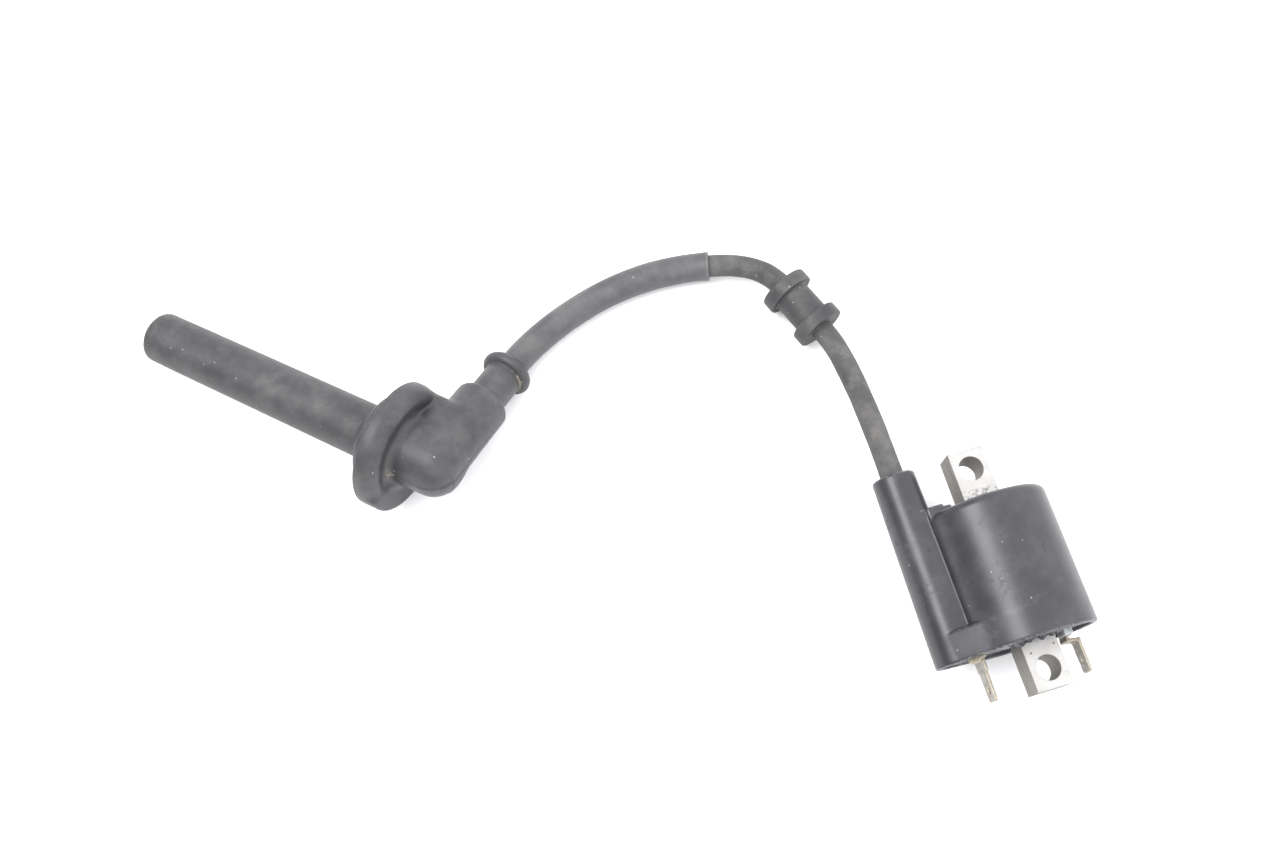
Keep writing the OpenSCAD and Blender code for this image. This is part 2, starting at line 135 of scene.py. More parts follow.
def skin_of_rings(rings, joined=False):
    """Points and faces of the closed skin over a stack of rings: faces between neighbouring
    rings, then a fan to the middle of each end ring, or faces from the last to the first."""
    m, n = rings.shape[:2]
    index = np.arange(m * n).reshape(m, n)
    low = index if joined else index[:-1]
    high = np.roll(index, -1, 0) if joined else index[1:]
    quads = np.stack([low, high, np.roll(high, -1, 1), np.roll(low, -1, 1)], -1).reshape(-1, 4)
    if joined:
        return rings.reshape(-1, 3), [quads]
    ends = np.stack([rings[0].mean(0), rings[-1].mean(0)])
    first, last = index[0], index[-1]
    fan = np.stack([np.full(n, m * n), first, np.roll(first, -1)], 1)
    fan_last = np.stack([np.full(n, m * n + 1), np.roll(last, -1), last], 1)
    return np.vstack([rings.reshape(-1, 3), ends]), [quads, fan, fan_last]


def add_piece(name, skin, finish, body, slot, stands_for=(), **marks):
    """Makes a piece from a skin in millimetres, with its finish, body and the CAD nodes that it
    stands for; the record slot is not used. Marks are values, one a point, that the finish reads by
    name."""
    points, faces = skin
    corners = points[np.vstack([f[:, [0, 1, 2]] for f in faces])]
    if faces[0].shape[1] == 4:
        corners = np.vstack([corners, points[faces[0][:, [0, 2, 3]]]])
    inside_out = np.einsum("ij,ij->", corners[:, 0], np.cross(corners[:, 1], corners[:, 2])) < 0
    mesh = bpy.data.meshes.new(name)
    listed = [row for f in faces for row in (f[:, ::-1] if inside_out else f).tolist()]
    mesh.from_pydata((points * MM).tolist(), [], listed)
    mesh.shade_smooth()
    upward = np.zeros(len(points) * 3, np.float32)
    mesh.vertices.foreach_get("normal", upward)
    for mark, values in {"upward": upward[2::3], **marks}.items():
        values = np.broadcast_to(np.asarray(values, np.float32), len(points))
        mesh.attributes.new(mark, "FLOAT", "POINT").data.foreach_set("value", values.copy())
    mesh.materials.append(finish)
    made = bpy.data.objects.new(name, mesh)
    scene.collection.objects.link(made)
    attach(made, body)
    if stands_for:
        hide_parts(*stands_for)
    return made


def put(tree, kind, inputs=(), **settings):
    """Adds a node of a kind to a tree. Each input named is linked if it is given an output, and
    set if it is given a value."""
    node = tree.nodes.new("ShaderNode" + kind)
    for key, value in settings.items():
        setattr(node, key, value)
    for key, value in dict(inputs).items():
        if isinstance(value, bpy.types.NodeSocket):
            tree.links.new(value, node.inputs[key])
        else:
            node.inputs[key].default_value = value
    return node


def sums(tree, operation, a, b=0.0, c=0.0):
    """Result of a Math node's operation on up to three values."""
    return put(tree, "Math", {0: a, 1: b, 2: c}, operation=operation).outputs[0]


def step_up(tree, value, low, high, to_low=0.0, to_high=1.0):
    """Smooth step from one value to another as the given value goes from low to high."""
    return put(tree, "MapRange", {"Value": value, "From Min": low, "From Max": high,
                                  "To Min": to_low, "To Max": to_high},
               interpolation_type="SMOOTHSTEP").outputs[0]


def mixed(tree, share, first, second):
    """First colour where share is nought, second where it is one."""
    node = put(tree, "Mix", {0: share}, data_type="RGBA")
    for socket, colour in ((node.inputs[6], first), (node.inputs[7], second)):
        if isinstance(colour, bpy.types.NodeSocket):
            tree.links.new(colour, socket)
        else:
            socket.default_value = (*colour, 1)
    return node.outputs[2]


def noise(tree, where, scale, detail=4.0, roughness=0.55, stretch=None):
    """Cloudy value with features of about one over scale metres, drawn out by stretch."""
    if stretch:
        where = put(tree, "Mapping", {"Vector": where, "Scale": stretch}).outputs[0]
    return put(tree, "TexNoise", {"Vector": where, "Scale": scale, "Detail": detail,
                                  "Roughness": roughness}).outputs["Fac"]


def mark(tree, name):
    """A value that the piece carries, one a point, under a name."""
    return put(tree, "Attribute", attribute_name=name).outputs["Fac"]


def new_group(name, inputs, outputs):
    """Node group with the named inputs, each a vector or a number, and number outputs."""
    tree = bpy.data.node_groups.new(name, "ShaderNodeTree")
    for key in inputs:
        kind = "NodeSocketVector" if key == "Where" else "NodeSocketFloat"
        tree.interface.new_socket(key, in_out="INPUT", socket_type=kind)
    for key in outputs:
        tree.interface.new_socket(key, in_out="OUTPUT", socket_type="NodeSocketFloat")
    return tree, tree.nodes.new("NodeGroupInput").outputs, tree.nodes.new("NodeGroupOutput").inputs


# Grime of the workshop: a crust where the crease mark is high, a film of dust on what faces up,
# and scattered pale specks.
grime, given, told = new_group("grime", ("Where", "Crease", "Upward"), ("Crust", "Film", "Specks"))
ragged = noise(grime, given["Where"], 900, 6, 0.7)
crust = sums(grime, "ADD", given["Crease"], sums(grime, "MULTIPLY_ADD", ragged, 1.5, -1.05))
grime.links.new(step_up(grime, crust, 0.25, 0.6), told["Crust"])
cloud = noise(grime, given["Where"], 130, 5, 0.65)
film = sums(grime, "MULTIPLY", step_up(grime, cloud, 0.38, 0.75),
            step_up(grime, given["Upward"], -0.2, 0.95, 0.25, 1.0))
grime.links.new(film, told["Film"])
grains = put(grime, "TexVoronoi", {"Vector": given["Where"], "Scale": 560}, feature="F1")
few = put(grime, "SeparateColor", {"Color": grains.outputs["Color"]}).outputs[0]
size = step_up(grime, few, 0.86, 1.0, 0.0, 0.15)
speck = sums(grime, "LESS_THAN", grains.outputs["Distance"], size)
grime.links.new(sums(grime, "MULTIPLY", speck, step_up(grime, few, 0.86, 0.9)), told["Specks"])

# Fine surface of the skin itself: its grain, and thin scratches drawn out along one axis.
skin_grain, given, told = new_group("skin_grain", ("Where", "Fineness"), ("Grain", "Scratches"))
fine = put(skin_grain, "TexNoise", {"Vector": given["Where"], "Scale": given["Fineness"],
                                    "Detail": 5.0, "Roughness": 0.6}).outputs["Fac"]
skin_grain.links.new(fine, told["Grain"])
drawn = noise(skin_grain, given["Where"], 260, 3, 0.6, stretch=(1.0, 14.0, 3.0))
crossed = noise(skin_grain, given["Where"], 210, 3, 0.6, stretch=(9.0, 1.2, 4.0))
lines = sums(skin_grain, "MAXIMUM", step_up(skin_grain, drawn, 0.70, 0.78),
             step_up(skin_grain, crossed, 0.71, 0.79))
skin_grain.links.new(lines, told["Scratches"])

TAN = (0.20, 0.18, 0.135)


def new_finish(name):
    """A new material, its tree, its shader and the place on the piece that its patterns read."""
    finish = bpy.data.materials.new(name)
    finish.use_nodes = True
    tree = finish.node_tree
    return finish, tree, tree.nodes["Principled BSDF"], put(tree, "TexCoord").outputs["Object"]


def dust_and_grain(tree, where, fineness):
    """Outputs of the grime group, led by the piece's marks, and of the skin grain group."""
    dusty = put(tree, "Group", node_tree=grime)
    grained = put(tree, "Group", {"Fineness": fineness}, node_tree=skin_grain)
    for group, key, value in ((dusty, "Where", where), (dusty, "Crease", mark(tree, "crease")),
                              (dusty, "Upward", mark(tree, "upward")), (grained, "Where", where)):
        tree.links.new(value, group.inputs[key])
    return dusty.outputs, grained.outputs


def raise_by(tree, shader, height, strength, distance=0.0001):
    """Lets the surface stand out by a height, by a strength, over a distance in metres."""
    relief = put(tree, "Bump", {"Strength": strength, "Distance": distance, "Height": height})
    tree.links.new(relief.outputs[0], shader.inputs["Normal"])


def laid_over(tree, colour, layers):
    """The colour with layers laid over it in turn: each a mask, its strength and its colour."""
    for mask, strength, layer in layers:
        colour = mixed(tree, sums(tree, "MULTIPLY", mask, strength), colour, layer)
    return colour


def rubber(name, dark, pale, rough, film=0.35, fineness=2600.0, bump=0.12, dirt=TAN, sheen=0.0):
    """Dull black elastomer: its colour drifts from dark to pale, a film of dust lies on what
    faces up, dirt sits in the creases, and the grain stands out a few hundredths of a mm."""
    finish, tree, shader, where = new_finish(name)
    dusty, grained = dust_and_grain(tree, where, fineness)
    drift = noise(tree, where, 70, 3)
    worn = step_up(tree, mark(tree, "worn"), 0.15, 1.0, 0.0, 0.5)
    colour = mixed(tree, step_up(tree, drift, 0.3, 0.7), dark, pale)
    colour = laid_over(tree, mixed(tree, worn, colour, tuple(2.2 * c for c in pale)), (
        (dusty["Film"], film, (0.17, 0.165, 0.155)), (grained["Scratches"], 0.12, (0.2, 0.2, 0.2)),
        (dusty["Crust"], 0.85, dirt), (dusty["Specks"], 0.55, (0.42, 0.41, 0.38))))
    tree.links.new(colour, shader.inputs["Base Color"])
    rougher = sums(tree, "MULTIPLY_ADD", drift, 0.16, rough - 0.08)
    rougher = sums(tree, "ADD", rougher, sums(tree, "MULTIPLY", dusty["Crust"], 0.3))
    tree.links.new(rougher, shader.inputs["Roughness"])
    raised = sums(tree, "MULTIPLY_ADD", dusty["Crust"], 1.5, grained["Grain"])
    raise_by(tree, shader, raised, bump, 0.0002)
    shader.inputs["Sheen Weight"].default_value = sheen
    return finish


lead_line = evened(line_through(LEAD_ROUTE), 1.0, 12)
lead_length = distances(lead_line)[-1]


def station_of(point):
    """How far along the lead the nearest of its points to this one lies."""
    nearest = np.argmin(np.linalg.norm(lead_line - np.asarray(point, float), axis=1))
    return distances(lead_line)[nearest]


def hump(values, middle, width):
    """Bell-shaped rise to one about a middle value."""
    return np.exp(-((values - middle) / width) ** 2)


tower_mouth_at = station_of((-21.5, 35, 0))
grommet_low_at = station_of(GROMMET_LOW)
grommet_high_at = station_of(GROMMET_HIGH)
sleeve_start_at = station_of((-50, 121.1, -14))
sleeve_end_at = station_of((-121.9, 103.3, -11.2))
stations = np.arange(0, lead_length, 0.8)
ripple = 0.03 * np.sin(stations / 3.1) + 0.02 * np.sin(stations / 1.3 + 1)
lead_dirt = (0.55 * hump(stations, tower_mouth_at + 0.5, 1.6)
             + 0.5 * hump(stations, grommet_low_at + 0.6, 2.2)
             + 0.3 * hump(stations, grommet_high_at + 2, 5)
             + 0.36 * hump(stations, sleeve_start_at - 4, 6))
LEAD_SIDES = 40
lead_skin = skin_of_rings(rings_along(lead_line, stations, LEAD_R - 0.03 + ripple, LEAD_SIDES))
lead_rubber = rubber("lead_rubber", (0.040, 0.039, 0.040), (0.062, 0.060, 0.060), 0.7,
                     film=0.5, bump=0.3, dirt=(0.15, 0.13, 0.10))
lead = add_piece("lead", lead_skin, lead_rubber, "coil", "lead_rubber", ("ht_lead",), worn=0.0,
                 crease=np.concatenate([np.repeat(lead_dirt, LEAD_SIDES), [0, 0]]))


# ---- Vinyl sleeve ---------------------------------------------------------------------------
# Soft vinyl tubing slid over the lead from the cap side; its free end is cut square and stands
# open a little.
SLEEVE_R = 4.5
SLEEVE_BORE_R = 3.72
SLEEVE_SIDES = 48
outside = np.concatenate([[sleeve_start_at, sleeve_start_at + 0.12, sleeve_start_at + 0.5],
                          np.arange(sleeve_start_at + 1.2, sleeve_end_at, 0.9), [sleeve_end_at]])
open_end = 0.22 * np.exp(-(outside - sleeve_start_at) / 1.6)
outside_r = SLEEVE_R + open_end + 0.04 * np.sin(outside / 7.0)
outside_r[0] -= 0.12
inside_r = SLEEVE_BORE_R + 0.6 * open_end
sleeve_rings = rings_along(lead_line, np.concatenate([outside, outside[::-1]]),
                           np.concatenate([outside_r, inside_r[::-1]]), SLEEVE_SIDES)
sleeve_vinyl = rubber("sleeve_vinyl", (0.050, 0.049, 0.053), (0.062, 0.061, 0.066), 0.5,
                      film=0.3, fineness=1500.0, bump=0.05)
sleeve_worn = np.zeros(len(outside) * 2)
sleeve_worn[:3] = 0.8
sleeve = add_piece("sleeve", skin_of_rings(sleeve_rings, joined=True), sleeve_vinyl, "coil",
                   "sleeve_vinyl", ("vinyl_sleeve",), crease=0.0,
                   worn=np.repeat(sleeve_worn, SLEEVE_SIDES))


# ---- Frame grommet --------------------------------------------------------------------------
# Moulded rubber bush with a waist between two thick flanges, slid along the lead to where the
# frame holds it. Road dirt has caked round the lead and in the corners of its waist.
GROMMET_CENTRE = (-27, 97.9, -11)
GROMMET_LENGTH = 18.8
GROMMET_FLANGE = 4.3
GROMMET_R = 8.0
WAIST_R = 5.8
BORE_R = 3.58
GROMMET_SIDES = 72


def turned(corners, gap):
    """Closed outline for turning, as places along the axis and radii: straight from corner to
    corner, each corner rounded by the parabola that leaves and meets its sides at its fillet's
    distance, with points no further than gap apart. A corner is (place, radius, fillet)."""
    rows = np.asarray(corners, float)
    at, fillet = rows[:, :2], rows[:, 2:]
    before, after = np.roll(at, 1, 0) - at, np.roll(at, -1, 0) - at
    before /= np.linalg.norm(before, axis=1, keepdims=True)
    after /= np.linalg.norm(after, axis=1, keepdims=True)
    t = np.linspace(0, 1, 7)[:, None, None]
    bend = at + (1 - t) ** 2 * fillet * before + t ** 2 * fillet * after
    line = bend.transpose(1, 0, 2).reshape(-1, 2)
    line = line[np.linalg.norm(line - np.roll(line, 1, 0), axis=1) > 1e-4]
    line = np.vstack([line, line[:1]])
    far = distances(line)
    wanted = np.unique(np.concatenate([far, np.arange(0, far[-1], gap)]))
    wanted = wanted[np.concatenate([np.diff(wanted) > 1e-3, [False]])]
    return np.interp(wanted, far, line[:, 0]), np.interp(wanted, far, line[:, 1])


def rings_about(origin, axis, side, places, radii, sides):
    """Rings about a straight axis: point k of ring i is the origin, plus places[i] along the
    axis, plus radii[i] times the cosine of its angle to the side and the sine of it across."""
    across = np.cross(side, axis)
    turn = np.linspace(0, 2 * np.pi, sides, endpoint=False)[None, :, None]
    spokes = np.cos(turn) * side + np.sin(turn) * across
    centres = np.asarray(origin, float) + np.outer(places, axis)
    return centres[:, None] + radii[:, None, None] * spokes


grommet_axis = np.subtract(GROMMET_HIGH, GROMMET_LOW)
grommet_axis /= np.linalg.norm(grommet_axis)
end, groove = GROMMET_LENGTH / 2, GROMMET_LENGTH / 2 - GROMMET_FLANGE
places, radii = turned([
    (-end, BORE_R, 0.5), (-end, GROMMET_R, 0.7), (-groove, GROMMET_R, 0.6),
    (-groove, WAIST_R, 0.5), (groove, WAIST_R, 0.5), (groove, GROMMET_R, 0.6),
    (end, GROMMET_R, 0.7), (end, BORE_R, 0.5)], 0.45)
rings = rings_about(GROMMET_CENTRE, grommet_axis, np.cross(grommet_axis, (0, 0, 1)), places,
                    radii, GROMMET_SIDES)
turn = np.linspace(0, 2 * np.pi, GROMMET_SIDES, endpoint=False)
swell = 1 + 0.006 * np.sin(3 * turn + 0.6) + 0.004 * np.sin(7 * turn)
middle = (np.asarray(GROMMET_CENTRE) + np.outer(places, grommet_axis))[:, None]
rings = middle + (rings - middle) * swell[None, :, None]
caked = (0.75 * hump(places, -end, 0.7) * hump(radii, BORE_R, 2.2)
         + 0.45 * hump(places, -groove, 0.8) * hump(radii, WAIST_R, 1.0)
         + 0.45 * hump(places, groove, 0.8) * hump(radii, WAIST_R, 1.0))
rubbed = 0.7 * hump(radii, GROMMET_R, 0.35) * (hump(abs(places), end, 0.6)
                                               + hump(abs(places), groove, 0.6))
grommet_rubber = rubber("grommet_rubber", (0.021, 0.020, 0.022), (0.036, 0.035, 0.037), 0.58,
                        film=0.3, bump=0.12)
grommet = add_piece("grommet", skin_of_rings(rings, joined=True), grommet_rubber, "grommet",
                    "grommet_rubber", ("frame_grommet",), crease=np.repeat(caked, GROMMET_SIDES),
                    worn=np.repeat(rubbed, GROMMET_SIDES))


# ---- Plug cap's rubber cover ----------------------------------------------------------------
# One moulding of black rubber: a lip and a neck round the lead, a domed elbow, a web, and the
# rain disc that shuts the plug's well. The mould's lower half was a little larger, so the part
# line shows as a step. Dirt has gathered behind the lip and where the elbow meets the disc.
ELBOW = np.array((-149.2, 77.3, 2.9))
CAP_TURN = np.radians((-8.6, 20.5, 43.6))
LEG_R = 8.6
LEG_LENGTH = 27.6
NECK_R = 6.0
LIP_X = 40.5
LIP_RING_R = 6.15
LIP_BEAD = 1.95
ROOT_R = 9.9
DISC_R = 19.5
DISC_NEAR = 8.6
DISC_FAR = 15.4
STUB_END = 11.8
HALF_STEP = 0.3


def turning(angles):
    """Matrix that turns about X, then about Y, then about Z, by the three angles."""
    (ca, cb, cc), (sa, sb, sc) = np.cos(angles), np.sin(angles)
    about_x = np.array(((1, 0, 0), (0, ca, -sa), (0, sa, ca)))
    about_y = np.array(((cb, 0, sb), (0, 1, 0), (-sb, 0, cb)))
    about_z = np.array(((cc, -sc, 0), (sc, cc, 0), (0, 0, 1)))
    return about_z @ about_y @ about_x


cap_axes = turning(CAP_TURN)
lip_way, tube_way = cap_axes.T[:2]


def both(a, b, r=0.0):
    """Field of what lies in both shapes, the edge between them rounded to radius r."""
    if r == 0:
        return np.maximum(a, b)
    return np.minimum(np.maximum(a, b), -r) + np.hypot(np.maximum(a + r, 0), np.maximum(b + r, 0))


def either(a, b, r=0.0):
    """Field of what lies in either shape, the corner between them filled to radius r."""
    return -both(-a, -b, r)


def sift(field, low, high, step):
    """Skin where a field of distances is nought, by the surface-net rule. Each cell of a cubic
    grid that the surface crosses gets one point, at the mean of the crossings on its edges, and
    each crossed edge gets one face through its four cells. The points are then evened out and
    drawn along the field's slope onto the surface."""
    axes = [np.arange(a, b + step, step) for a, b in zip(low, high)]
    value = field(*np.meshgrid(*axes, indexing="ij"))
    round_edge = np.array(((0, 0), (1, 0), (1, 1), (0, 1)))
    size = np.array(value.shape)
    cells, crossings = [], []
    for axis in range(3):
        head = [slice(None)] * 3
        tail = [slice(None)] * 3
        head[axis], tail[axis] = slice(None, -1), slice(1, None)
        v0, v1 = value[tuple(head)], value[tuple(tail)]
        at = np.argwhere((v0 < 0) != (v1 < 0))
        v0, v1 = v0[tuple(at.T)], v1[tuple(at.T)]
        offset = np.zeros((4, 3), int)
        offset[:, (axis + 1) % 3], offset[:, (axis + 2) % 3] = round_edge.T
        around = np.ravel_multi_index(np.moveaxis(at[:, None] - offset, -1, 0), size)
        around[v0 > 0] = around[v0 > 0][:, ::-1]
        place = at.astype(float)
        place[:, axis] += v0 / (v0 - v1)
        cells.append(around)
        crossings.append(np.repeat(place[:, None], 4, 1).reshape(-1, 3))
    cells = np.vstack(cells)
    crossings = np.vstack(crossings)
    _, faces = np.unique(cells, return_inverse=True)
    faces = faces.reshape(-1, 4)
    share = np.bincount(faces.ravel())
    points = np.stack([np.bincount(faces.ravel(), c) / share for c in crossings.T], 1)
    points = points * step + np.asarray(low, float)
    nudge = 0.3 * step * np.eye(3)
    for turn in range(5):
        if turn < 2:
            near = np.concatenate([faces[:, [0, 1]], faces[:, [1, 2]], faces[:, [2, 3]],
                                   faces[:, [3, 0]]])
            count = np.bincount(near[:, 0], minlength=len(points))
            mean = np.stack([np.bincount(near[:, 0], points[near[:, 1], k], len(points))
                             for k in range(3)], 1) / count[:, None]
            points = 0.5 * (points + mean)
        slope = np.stack([field(*(points + n).T) - field(*(points - n).T) for n in nudge], 1)
        slope /= 0.6 * step
        move = field(*points.T)[:, None] * slope
        move /= np.maximum((slope ** 2).sum(1), 0.3)[:, None]
        points = points - np.clip(move, -step, step)
    return points, [faces]


def bend_of(field, points, reach):
    """How sharply the surface bends at each point, above nought where it bulges: the sum of the
    field a reach away on six sides, less six times the field, over the reach squared."""
    near = sum(field(*(points + side * reach * n).T) for n in np.eye(3) for side in (-1, 1))
    return (near - 6 * field(*points.T)) / reach ** 2


def cover_field(x, y, z):
    """Lip, neck and leg turned about X; root, disc and web turned about Y; the lower half of
    leg and root swelled; and the bores taken out."""
    about_x, about_y = np.hypot(y, z), np.hypot(x, z)
    swell = HALF_STEP * (0.3 + 0.7 * np.clip((22 - x) / 26, 0, 1)) * (0.5 - 0.5 * np.tanh(z / 0.12))
    leg = both(both(about_x - LEG_R - swell, x - LEG_LENGTH, 2.6), -3 - x)
    root = both(both(about_y - ROOT_R - 0.5 * swell, -8.6 - swell - y, 8.2), y - 13.2)
    neck = both(about_x - NECK_R, x - LIP_X - LIP_BEAD + 0.2, 0.4)
    middle = (DISC_NEAR + DISC_FAR) / 2
    thick = (DISC_FAR - DISC_NEAR) / 2
    dish = DISC_NEAR + 0.36 * np.maximum(DISC_R - 3.5 - about_y, 0)
    dished = both(both(about_y - DISC_R, dish - y, 5.0), y - DISC_FAR, 0.7)
    flat = both(about_y - DISC_R, abs(y - middle) - thick, 0.7)
    low = 0.5 - 0.5 * np.tanh((z + 4.8) / 1.2)
    disc = dished * (1 - low) + flat * low
    disc = both(disc, -both(about_y - 16.6, STUB_END + 1.9 - y, 0.5), 0.5)
    web = both(both(about_y - DISC_R + 0.4, abs(z) - 8.5, 1.6), both(-x, abs(y - 6.6) - 4.6, 1.2))
    body = either(either(root, disc, 3.6), either(leg, web, 0.8), 1.0)
    body = either(body, both(neck, 20 - x), 0.35)
    body = either(body, np.hypot(about_x - LIP_RING_R, x - LIP_X) - LIP_BEAD, 0.15)
    bores = both(about_x - 1.9, abs(x - 5) - 8.2)
    bores = either(bores, both(about_x - LEAD_R - 0.35, 11 - x))
    bores = either(bores, both(about_x - SLEEVE_R - 0.35, 32.5 - x))
    bores = either(bores, both(about_y - 3.7, abs(y) - 4.4))
    bores = either(bores, both(about_y - 6.25, 4 - y))
    bores = either(bores, both(about_y - 8.45, STUB_END - y))
    return both(body, -bores, 0.2)


points, faces = sift(cover_field, (-20.7, -11.6, -20.7), (43.4, 16.4, 20.7), 0.4)
bend = bend_of(cover_field, points, 0.7)
along, over, up = points.T
near_disc = hump(over, DISC_NEAR, 2.6) * hump(along, -10.5, 2.2) * hump(up, 0.5, 5)
near_lip = hump(along, LIP_X - 2.1, 0.6) * np.clip(-over / 6, 0, 1)
at_seam = 0.25 * hump(up, 0, 0.35) * (bend < 0)
crease = np.clip(-bend / 2.2 - 0.1, 0, 0.3) + 0.6 * near_disc + 0.6 * near_lip + at_seam
cover_rubber = rubber("cover_rubber", (0.026, 0.025, 0.028), (0.039, 0.037, 0.041), 0.5,
                      film=0.22, bump=0.08)
cover = add_piece("plug_cover", (ELBOW + points @ cap_axes.T, faces), cover_rubber, "plug_cap",
                  "cover_rubber", ("cap_cover",), crease=crease, worn=np.clip(bend - 0.9, 0, 1))


# ---- Plug cap's tube ------------------------------------------------------------------------
# Hard black moulding, held by its stub in the rubber cover. A domed collar stands just behind
# the rain disc, and the long barrel tapers slightly to a mouth with a rounded edge.
TUBE_LENGTH = 102.6
TUBE_SIDES = 80
places, radii = turned([
    (5.2, 1.9, 0.1), (5.2, 6.2, 0.3), (STUB_END, 6.2, 0.05), (STUB_END, 8.4, 0.2),
    (DISC_FAR + 0.8, 8.4, 0.1), (DISC_FAR + 0.8, 14.4, 0.5), (DISC_FAR + 3.6, 14.2, 1.2),
    (DISC_FAR + 4.9, 11.2, 1.2), (DISC_FAR + 6.4, 8.4, 1.4), (TUBE_LENGTH, 7.95, 2.7),
    (TUBE_LENGTH, 6.2, 0.3), (TUBE_LENGTH - 0.6, 6.5, 0.2), (78, 6.5, 0.1), (78, 4.4, 0.1),
    (60, 4.4, 0.1), (60, 3, 0.1), (22, 3, 0.1), (22, 1.9, 0.1)], 1.1)


def moulding(name, dark, pale, rough, film=0.12, scuff=0.3, bump=0.03):
    """Hard glossy plastic: colour from dark to pale, paler where its edges are worn, thin
    scratches that dull it, a little dust, and the slight waviness of a moulded skin."""
    finish, tree, shader, where = new_finish(name)
    dusty, grained = dust_and_grain(tree, where, 900.0)
    drift = noise(tree, where, 45, 3)
    rubbed = noise(tree, where, 700, 5, 0.7)
    worn = sums(tree, "MULTIPLY", step_up(tree, mark(tree, "worn"), 0.2, 0.9),
                step_up(tree, rubbed, 0.4, 0.62))
    patches = sums(tree, "MULTIPLY", step_up(tree, noise(tree, where, 110, 4, 0.6), 0.52, 0.68),
                   step_up(tree, rubbed, 0.45, 0.7))
    blots = sums(tree, "MULTIPLY", step_up(tree, noise(tree, where, 150, 5, 0.7), 0.6, 0.68),
                 step_up(tree, noise(tree, where, 40, 2), 0.48, 0.6))
    colour = laid_over(tree, mixed(tree, step_up(tree, drift, 0.3, 0.7), dark, pale), (
        (patches, scuff, tuple(3.5 * c for c in pale)), (blots, 2 * scuff, (0.008, 0.009, 0.014)),
        (dusty["Film"], film, (0.2, 0.2, 0.2)),
        (grained["Scratches"], 0.25 * scuff, (0.25, 0.25, 0.26)), (worn, 0.6, (0.19, 0.19, 0.2)),
        (dusty["Crust"], 0.6, TAN), (dusty["Specks"], 0.4, (0.4, 0.4, 0.4))))
    tree.links.new(colour, shader.inputs["Base Color"])
    dull = sums(tree, "MULTIPLY_ADD", patches, 0.25, sums(tree, "MULTIPLY_ADD", drift, 0.12,
                                                        rough - 0.06))
    dull = sums(tree, "MULTIPLY_ADD", grained["Scratches"], 0.15, dull)
    dull = sums(tree, "MULTIPLY_ADD", blots, 0.2, dull)
    tree.links.new(dull, shader.inputs["Roughness"])
    raised = sums(tree, "MULTIPLY_ADD", grained["Scratches"], -0.8, grained["Grain"])
    raise_by(tree, shader, raised, bump, 0.0002)
    return finish


tube_plastic = moulding("tube_plastic", (0.025, 0.024, 0.026), (0.033, 0.032, 0.034), 0.55,
                        film=0.18, scuff=0.12, bump=0.06)
tube_rings = rings_about(ELBOW, tube_way, lip_way, places, radii, TUBE_SIDES)
tube_worn = 0.8 * hump(places, TUBE_LENGTH, 0.9) * (radii > 6.6)
add_piece("plug_tube", skin_of_rings(tube_rings, joined=True), tube_plastic, "plug_cap",
          "tube_plastic", ("cap_tube",), crease=0.0, worn=np.repeat(tube_worn, TUBE_SIDES))


# ---- Seal in the tube's mouth ---------------------------------------------------------------
# Rubber ring with three lips that grips the plug's ceramic, pressed into the tube.
places, radii = turned([
    (90, 6.48, 0.3), (90, 5.2, 0.3), (91.5, 4.7, 0.5), (93, 5.3, 0.5), (95, 4.7, 0.6),
    (97, 5.3, 0.5), (98.5, 4.7, 0.5), (100, 5.2, 0.3), (100, 6.48, 0.3)], 0.5)
add_piece("plug_seal_ring",
          skin_of_rings(rings_about(ELBOW, tube_way, lip_way, places, radii, 64), joined=True),
          grommet_rubber, "plug_cap", "grommet_rubber", ("plug_seal",), crease=0.0, worn=0.0)


# ---- Case of the coil -----------------------------------------------------------------------
# One injection moulding of glass-filled black plastic: the round can, the tower for the lead,
# the skirt that joins them at the open end, the web between them and the gusset behind. It has
# been handled: the gloss is broken by scuffs and the edges are rubbed pale.
OPEN_Y, CLOSED_Y = -21.7, 19.8
TOWER_X, TOWER_TOP = -21.5, 35.0
CAN_R, TOWER_R = 18.98, 7.3
TOWER_TAPER = 0.0159
SKIRT_Y = -13.0
CAVITY_R, CHAMBER_R = 17.2, 5.6


def twin_outline(x, z, big, small):
    """Distance across the open end from the outline that wraps a big circle on the core's axis
    and a small one on the tower's: to an end circle beyond it, and to the side line between."""
    lean = (big - small) / -TOWER_X
    upright = math.sqrt(1 - lean * lean)
    side = abs(z)
    level = -x * upright - lean * side
    between = upright * side - lean * x - big
    return np.where(level < 0, np.hypot(x, z) - big,
                    np.where(level > -upright * TOWER_X, np.hypot(x - TOWER_X, z) - small,
                             between))


def block(x, y, z, x0, x1, y0, y1, half, r):
    """Field of a box between x0 and x1, y0 and y1, and half either side of z nought."""
    flat = both(abs(x - (x0 + x1) / 2) - (x1 - x0) / 2, abs(y - (y0 + y1) / 2) - (y1 - y0) / 2, r)
    return both(flat, abs(z) - half, r)


